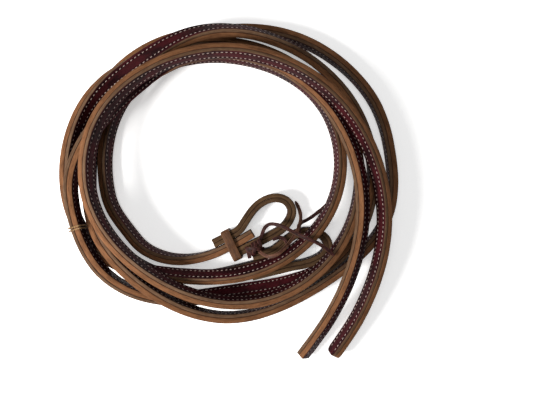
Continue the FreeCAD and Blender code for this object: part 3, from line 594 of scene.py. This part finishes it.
def lace_leather(name, dark, light, rim):
    material, tree = new_material(name)
    k = Nodes(tree)
    strap = k.attribute("strap", "Vector")
    edge = k.attribute("edge")
    cloud = k.noise(k.scaled(strap, (130.0, 500.0, 500.0)), 1.0, 3.0, 0.6)
    fibre = k.noise(k.scaled(strap, (260.0, 2600.0, 2600.0)), 1.0, 3.0, 0.6, 0.3)
    colour = k.mix(k.range(cloud, 0.33, 0.68, smooth=True), rgb(dark), rgb(light))
    colour = k.mix(k.range(fibre, 0.5, 0.72, 0.0, 0.45), colour, rgb(rim))
    # the lighter rim colour on the rounded edges is partly the lace's cut edge and partly a painted highlight
    colour = k.mix(k.math("MULTIPLY", edge, 0.65), colour, rgb(rim))
    grain = k.cells(k.scaled(strap, (1900.0, 2300.0, 2300.0)), 1.0)
    height = k.math("ADD", k.math("MULTIPLY", k.range(grain, 0.0, 0.2), 0.5), k.math("MULTIPLY", fibre, 0.9))
    normal = k.bump(height, 0.00011, 0.8)
    k.finish(colour, k.range(cloud, 0.3, 0.7, 0.42, 0.6), normal, specular=0.12)
    return material


def twine_material(name):
    material, tree = new_material(name)
    k = Nodes(tree)
    strap = k.attribute("strap", "Vector")
    fibre = k.noise(k.scaled(strap, (500.0, 900.0, 4000.0)), 1.0, 4.0, 0.65)
    cloud = k.noise(k.scaled(strap, (160.0, 100.0, 200.0)), 1.0, 2.0, 0.5)
    colour = k.ramp(k.math("ADD", k.math("MULTIPLY", fibre, 0.6), k.math("MULTIPLY", cloud, 0.4)), [(0.34, rgb("#5A4224")), (0.5, rgb("#927044")), (0.64, rgb("#B89A6C"))])
    normal = k.bump(fibre, 0.00012, 0.9)
    k.finish(colour, k.range(fibre, 0.3, 0.7, 0.6, 0.85), normal, specular=0.3, sheen=0.2)
    return material


HARNESS = strap_leather("harness_leather", "#22090D", "#4A161C", "#432B1B", "#62412A", "#775136", "#2A130E")
BACKING = strap_leather("backing_leather", "#1E080B", "#421419", "#3E2D21", "#563F2E", "#66503E", "#2A130E")
# a darker copy of the strap leather: painted shade for the bit loops, which lie in shadow under the coil
SHADED_LOOP_LEATHER = strap_leather("shaded_loop_leather", "#1A080B", "#341318", "#2D1F16", "#423020", "#543F2B", "#1E0E0A")
THREAD = thread_material("waxed_thread", "#BCA89E", "#7C655D")
LACING = lace_leather("latigo_lace", "#1A090A", "#351616", "#6A4A36")
# a lighter, tan copy of the lace leather for the side lace: painted light
LIT_LACE_COPY = lace_leather("lit_lace_copy", "#331A16", "#5A3A2C", "#80604A")
KEEPER_LEATHER = lace_leather("keeper_leather", "#402819", "#5C3C26", "#6E4C33")
TWINE = twine_material("twine")


def place(ob, material, nodes, body="reins"):
    ob.data.materials.append(material)
    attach(ob, body)
    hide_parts(*nodes)
    return ob


# ---------------------------------------------------------------- the two reins
reins, loops = {}, {}
for number, route, loop_route in ((1, REIN_1_ROUTE, LOOP_1_ROUTE), (2, REIN_2_ROUTE, LOOP_2_ROUTE)):
    line = Line(route, 24)
    reins[number] = line
    name = "rein_%d" % number
    rounded = 5.5 * MM if number == 1 else 0.0
    grain = place(ply(name + "_grain", line, SEAM, HALF_THICK, 100 * number, rounded), HARNESS, [name + "_grain_ply"])
    back = place(ply(name + "_back", line, SEAM, -HALF_THICK, 100 * number + 20, rounded), BACKING, [name + "_back_ply"])
    span = line.length / (len(route) - 2)
    sewn = place(stitches(name + "_stitches", line, 5.0 * MM, line.length - 1.6 * span, 7 + number), THREAD, [name + "_stitching"])
    loop = Line(loop_route, 24)
    loops[number] = loop
    # the bit loops take the darker leather copy, which is painted shade
    outer = place(ply(name + "_loop_outer", loop, 0.0, HALF_THICK, 100 * number + 40, 0.0, 0.9 * MM), SHADED_LOOP_LEATHER, [name + "_bit_loop_outer"])
    inner = place(ply(name + "_loop_inner", loop, 0.0, -HALF_THICK, 100 * number + 60, 0.0, 0.9 * MM), SHADED_LOOP_LEATHER, [name + "_bit_loop_inner"])
    loop_span = loop.length / (len(loop_route) - 2)
    loop_sewn = place(stitches(name + "_loop_stitches", loop, 4.0 * MM, loop.length - 4.0 * MM, 17 + number), THREAD, [name + "_bit_loop_stitching"])
    line.pieces = [back, sewn, outer, inner, loop_sewn]
    line.piece = grain

# ---------------------------------------------------------------- keeper
along = np.array([STACK_DIR[0], STACK_DIR[1], 0.0])
aside = np.array([-STACK_DIR[1], STACK_DIR[0], 0.0])
upward = np.array([0.0, 0.0, 1.0])


def loop_band(name, origin, axis, path2, section, marks, u_dir, v_dir, skew=None):
    """A section swept round a closed path in the plane of u_dir and v_dir; the section's first number is along axis, its second looks out."""
    path2 = np.asarray(path2)
    nxt, prv = np.roll(path2, -1, axis=0), np.roll(path2, 1, axis=0)
    tangent = nxt - prv
    tangent /= np.linalg.norm(tangent, axis=1)[:, None]
    outward = np.stack([tangent[:, 1], -tangent[:, 0]], axis=1)
    section = np.asarray(section)
    k, m = len(path2), section.shape[-2]
    section = np.broadcast_to(section, (k, m, 2)) if section.ndim == 2 else section
    flat = path2[:, None] + section[..., 1:2] * outward[:, None]
    slide = section[..., 0] + (0.0 if skew is None else skew[:, None])
    grid = origin + flat[..., 0:1] * u_dir + flat[..., 1:2] * v_dir + slide[..., None] * axis
    step = np.linalg.norm(nxt - path2, axis=1)
    s = np.concatenate([[0.0], np.cumsum(step)[:-1]])
    i = np.arange(k)[:, None] * m
    j = np.arange(m)[None, :]
    jn = (j + 1) % m
    inext = ((np.arange(k) + 1) % k)[:, None] * m
    quads = np.stack([i + j, i + jn, inext + jn, inext + j], axis=-1).reshape(-1, 4)
    strap = np.stack([np.repeat(s, m), section[..., 0].ravel(), section[..., 1].ravel()], axis=1)
    return make_mesh(name, grid.reshape(-1, 3), quads, None, {"strap": strap, "edge": np.tile(marks, k)})


def rounded_rectangle(half_u, low_v, high_v, radius, step):
    """Counter-clockwise from the middle of the bottom."""
    points = []

    def straight(a, b):
        a, b = np.array(a), np.array(b)
        count = max(1, int(np.linalg.norm(b - a) / step))
        points.extend(a + (b - a) * i / count for i in range(count))

    def arc(c, start):
        count = 7
        points.extend(np.array(c) + radius * np.array([math.cos(start + math.pi / 2 * i / count), math.sin(start + math.pi / 2 * i / count)]) for i in range(count))

    u, r = half_u, radius
    straight((0.0, low_v), (u - r, low_v))
    arc((u - r, low_v + r), -math.pi / 2)
    straight((u, low_v + r), (u, high_v - r))
    arc((u - r, high_v - r), 0.0)
    straight((u - r, high_v), (-u + r, high_v))
    arc((-u + r, high_v - r), math.pi / 2)
    straight((-u, high_v - r), (-u, low_v + r))
    arc((-u + r, low_v + r), math.pi)
    straight((-u + r, low_v), (0.0, low_v))
    return np.array(points)


def band_section(wide, thick, crown=0.1):
    """Across a flat band: along its width, then outwards."""
    h, t = wide / 2, thick / 2
    top = [(-1.0, 0.25, 1.0), (-0.985, 0.62, 1.0), (-0.94, 0.9, 0.6), (-0.85, 1.0, 0.1), (-0.6, 1.0 + crown * 0.5, 0.0), (-0.3, 1.0 + crown, 0.0), (0.0, 1.0 + crown * 1.1, 0.0)]
    ring = top + [(-x, y, e) for x, y, e in reversed(top[:-1])]
    low = [(1.0, -0.3, 1.0), (0.96, -0.85, 1.0), (0.85, -1.0, 0.4), (0.4, -1.0, 0.0), (0.0, -1.0, 0.0)]
    ring += low + [(-x, y, e) for x, y, e in reversed(low[:-1])]
    ring = np.array(ring)
    return np.stack([ring[:, 0] * h, ring[:, 1] * t], axis=1), ring[:, 2]


wall = 1.8 * MM
path = rounded_rectangle(27.1 * MM / 2 + wall / 2, wall / 2, 13.4 * MM + 1.5 * wall, 1.9 * MM, 0.8 * MM)
section, marks = band_section(8.5 * MM, wall * 0.97, 0.12)
angle = np.arange(len(path)) / len(path) * 2 * math.pi
skew = 0.25 * MM * np.sin(angle + 0.6) + 0.12 * MM * np.sin(3 * angle)
# the two ends of the keeper's strip lap on its top: a low step runs across it
top_share = np.exp(-((path[:, 0] - 2.2 * MM) / (4.2 * MM)) ** 4) * (path[:, 1] > 10 * MM)
section_all = np.broadcast_to(section, (len(path),) + section.shape).copy()
section_all[..., 1] += (0.55 * MM * top_share)[:, None] * (section[:, 1] > 0)[None]
keeper = loop_band("keeper", np.array([KEEPER_AT[0], KEEPER_AT[1], 0.0]), along, path, section_all, marks, aside, upward, skew)
place(keeper, KEEPER_LEATHER, ["rein_2_keeper"], "keeper")

# ---------------------------------------------------------------- laces and knot
lace_lines = {}
for name, rows, seed, ends in (("rein_1_lace_long", LACE_1_LONG, 31, (False, True)), ("rein_1_lace_arc", LACE_1_ARC, 37, (False, False)),
                               ("rein_2_lace_long", LACE_2_LONG, 41, (False, True)), ("rein_2_lace_side", LACE_2_SIDE, 47, (True, False))):
    line = Line(rows, 24)
    lace_lines[name] = (line, lace(name, line, seed, point=ends))
for name, (line, ob) in lace_lines.items():
    # the side lace takes the lighter lace copy, which is painted light
    place(ob, LIT_LACE_COPY if name == "rein_2_lace_side" else LACING, ["rein_1_tie_lace" if name.startswith("rein_1") else "rein_2_tie_lace"])

centre = np.array(KNOT_AT)
band, band_marks = band_section(3.5 * MM, 1.3 * MM, 0.1)


def wrap(name, shift, tilt, half_u, half_v, roll, lift=0.0, slide=0.0):
    """One turn of lace round the knot: an oval about an axis that leans tilt degrees from the strap's direction."""
    a, r = math.radians(tilt), math.radians(roll)
    axis = math.cos(a) * along + math.sin(a) * aside
    side = -math.sin(a) * along + math.cos(a) * aside
    axis2 = math.cos(r) * axis + math.sin(r) * upward
    up2 = -math.sin(r) * axis + math.cos(r) * upward
    turn = np.arange(56) / 56 * 2 * math.pi
    # a squared oval
    c, s = np.cos(turn), np.sin(turn)
    path = np.stack([half_u * np.sign(c) * np.abs(c) ** 0.72, half_v * np.sign(s) * np.abs(s) ** 0.8], axis=1)
    return loop_band(name, centre + shift * along + slide * aside + lift * upward, axis2, path, band, band_marks, side, up2)


knots = [wrap("turn_a", -5.2 * MM, 19.0, 5.0 * MM, 2.3 * MM, 6.0, 0.1 * MM, -0.6 * MM), wrap("turn_b", -1.4 * MM, -16.0, 5.2 * MM, 2.6 * MM, -5.0, 0.3 * MM),
         wrap("turn_c", 2.4 * MM, 14.0, 4.9 * MM, 2.4 * MM, 8.0, 0.2 * MM, 0.4 * MM), wrap("turn_d", 5.6 * MM, -9.0, 4.4 * MM, 2.0 * MM, -7.0, 0.0, 0.8 * MM),
         wrap("turn_e", -7.3 * MM, -12.0, 4.3 * MM, 1.7 * MM, -4.0, -0.4 * MM, -1.6 * MM)]
over = Line([tuple(centre + MM * (-7.0 * along + 2.6 * aside - 0.6 * upward)), tuple(centre + MM * (-5.2 * along + 2.6 * aside + 2.7 * upward)),
             tuple(centre + MM * (-1.6 * along + 0.9 * aside + 4.3 * upward)), tuple(centre + MM * (2.4 * along - 1.6 * aside + 4.1 * upward)),
             tuple(centre + MM * (5.6 * along - 3.4 * aside + 2.4 * upward)), tuple(centre + MM * (7.2 * along - 4.4 * aside - 1.0 * upward))], 16)
knots.append(lace("turn_f", over, 61, 3.3 * MM, 1.3 * MM, 5.0, (False, False)))
under = Line([tuple(centre + MM * (-3.6 * along - 5.6 * aside - 1.0 * upward)), tuple(centre + MM * (-3.0 * along - 4.4 * aside + 2.4 * upward)),
              tuple(centre + MM * (-0.4 * along - 1.0 * aside + 4.6 * upward)), tuple(centre + MM * (2.6 * along + 2.4 * aside + 3.6 * upward)),
              tuple(centre + MM * (4.4 * along + 4.8 * aside + 0.6 * upward)), tuple(centre + MM * (4.8 * along + 5.2 * aside - 1.4 * upward))], 16)
knots.append(lace("turn_g", under, 67, 3.1 * MM, 1.3 * MM, 5.0, (False, False)))
for ob in knots:
    ob.data.materials.append(LACING)
bpy.ops.object.select_all(action="DESELECT")
for ob in knots:
    ob.select_set(True)
bpy.context.view_layer.objects.active = knots[0]
bpy.ops.object.join()
knot = knots[0]
knot.name = "rein_2_knot"
knot.data.name = "rein_2_knot"
while len(knot.data.materials) > 1:
    knot.data.materials.pop()
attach(knot, "reins")
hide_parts("rein_2_lace_knot")

# ---------------------------------------------------------------- twine round one strand
g = reins[2]
tie_s = float(np.interp(TIE_SPAN, g.u, g.s))
tie_p, tie_t, tie_thick, tie_width = (v[0] for v in g.at([tie_s]))


def twine(name, shift, seed):
    """One turn of two-strand twine round the strap."""
    a, b = HALF_THICK + 1.0 * MM, STRAP_WIDTH / 2 + 1.0 * MM
    path = rounded_rectangle(a, -b, b, 1.5 * MM, 0.35 * MM)
    centre = path[:, 0:1] * tie_thick + path[:, 1:2] * tie_width + tie_p + (shift + 0.25 * MM * np.sin(np.arange(len(path)) / len(path) * 2 * math.pi))[:, None] * tie_t
    nxt, prv = np.roll(centre, -1, axis=0), np.roll(centre, 1, axis=0)
    t = nxt - prv
    t /= np.linalg.norm(t, axis=1)[:, None]
    side = np.cross(t, tie_t)
    side /= np.linalg.norm(side, axis=1)[:, None]
    other = np.cross(side, t)
    step = np.linalg.norm(nxt - centre, axis=1)
    s = np.concatenate([[0.0], np.cumsum(step)[:-1]])
    total = s[-1] + step[-1]
    turns = round(total / (2.9 * MM))
    verts, quads, strap, offset = [], [], [], 0
    m = 8
    around = np.arange(m) / m * 2 * math.pi
    for strand in (0.0, math.pi):
        phase = strand + 2 * math.pi * turns * s / total
        middle = centre + 0.34 * MM * (np.cos(phase)[:, None] * side + np.sin(phase)[:, None] * other)
        radius = 0.40 * MM
        grid = middle[:, None] + radius * (np.cos(around)[None, :, None] * side[:, None] + np.sin(around)[None, :, None] * other[:, None])
        k = len(centre)
        i = np.arange(k)[:, None] * m
        j = np.arange(m)[None, :]
        jn = (j + 1) % m
        inext = ((np.arange(k) + 1) % k)[:, None] * m
        quads.append(offset + np.stack([i + j, i + jn, inext + jn, inext + j], axis=-1).reshape(-1, 4))
        verts.append(grid.reshape(-1, 3))
        strap.append(np.stack([np.repeat(s, m), np.full(k * m, strand * MM), np.tile(around, k) * MM], axis=1))
        offset += k * m
    return make_mesh(name, np.concatenate(verts), np.concatenate(quads), None, {"strap": np.concatenate(strap)})


turn_1, turn_2 = twine("twine_a", -1.2 * MM, 71), twine("twine_b", 1.2 * MM, 72)
for ob in (turn_1, turn_2):
    ob.data.materials.append(TWINE)
bpy.ops.object.select_all(action="DESELECT")
turn_1.select_set(True)
turn_2.select_set(True)
bpy.context.view_layer.objects.active = turn_1
bpy.ops.object.join()
turn_1.name = "coil_twine"
turn_1.data.name = "coil_twine"
while len(turn_1.data.materials) > 1:
    turn_1.data.materials.pop()
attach(turn_1, "reins")
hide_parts("coil_tie")

# ---------------------------------------------------------------- paths: each rein sampled from its bit end to its bare tail
for number, length, more in ((1, 2.4411, [lace_lines["rein_1_lace_arc"][1]]), (2, 2.3048, [keeper, knot, turn_1])):
    line = reins[number]
    path = line.path(900)[::-1]
# the laces' tails: each sampled from its hidden or knotted end
for name, length, back in (("rein_1_lace_long", 0.0556, False), ("rein_2_lace_long", 0.0898, False), ("rein_2_lace_side", 0.0855, True)):
    line, ob = lace_lines[name]
    path = line.path(60)[::-1] if back else line.path(60)

# ---------------------------------------------------------------- floor and light
bpy.context.scene.view_settings.view_transform = "Standard"
bpy.ops.mesh.primitive_plane_add(size=6.0, location=(0.0, 0.0, -0.0001))
floor = bpy.context.active_object
floor.name = "floor"
paper, tree = new_material("paper")
k = Nodes(tree)
position = k.add("ShaderNodeTexCoord").outputs["Object"]
faint = k.noise(position, 3.0, 2.0, 0.5)
board = k.finish(k.mix(faint, (0.93, 0.93, 0.93), (0.955, 0.955, 0.955)), 0.9, None, specular=0.1)
# a translucent table lit softly from below, so that shadows stay pale
board.inputs["Emission Color"].default_value = (1.0, 1.0, 1.0, 1.0)
board.inputs["Emission Strength"].default_value = 0.42
floor.data.materials.append(paper)


def area(name, location, target, size, power, colour=(1.0, 1.0, 1.0)):
    data = bpy.data.lights.new(name, "AREA")
    data.shape = "DISK"
    data.size = size
    data.energy = power
    data.color = colour
    ob = bpy.data.objects.new(name, data)
    ob.location = location
    from mathutils import Vector
    ob.rotation_euler = (Vector(target) - Vector(location)).to_track_quat("-Z", "Y").to_euler()
    bpy.context.scene.collection.objects.link(ob)
    return ob


area("key", (-0.50, -0.22, 0.42), (0.0, 0.0, 0.0), 0.24, 8.6, (1.0, 0.985, 0.96))
area("overhead", (-0.15, 0.15, 1.3), (0.0, 0.0, 0.0), 0.9, 4.6)
world = bpy.data.worlds.new("world")
bpy.context.scene.world = world
world.use_nodes = True
background = world.node_tree.nodes.get("Background") or world.node_tree.nodes.new("ShaderNodeBackground")
background.inputs["Color"].default_value = (1.0, 1.0, 1.0, 1.0)
background.inputs["Strength"].default_value = 0.22
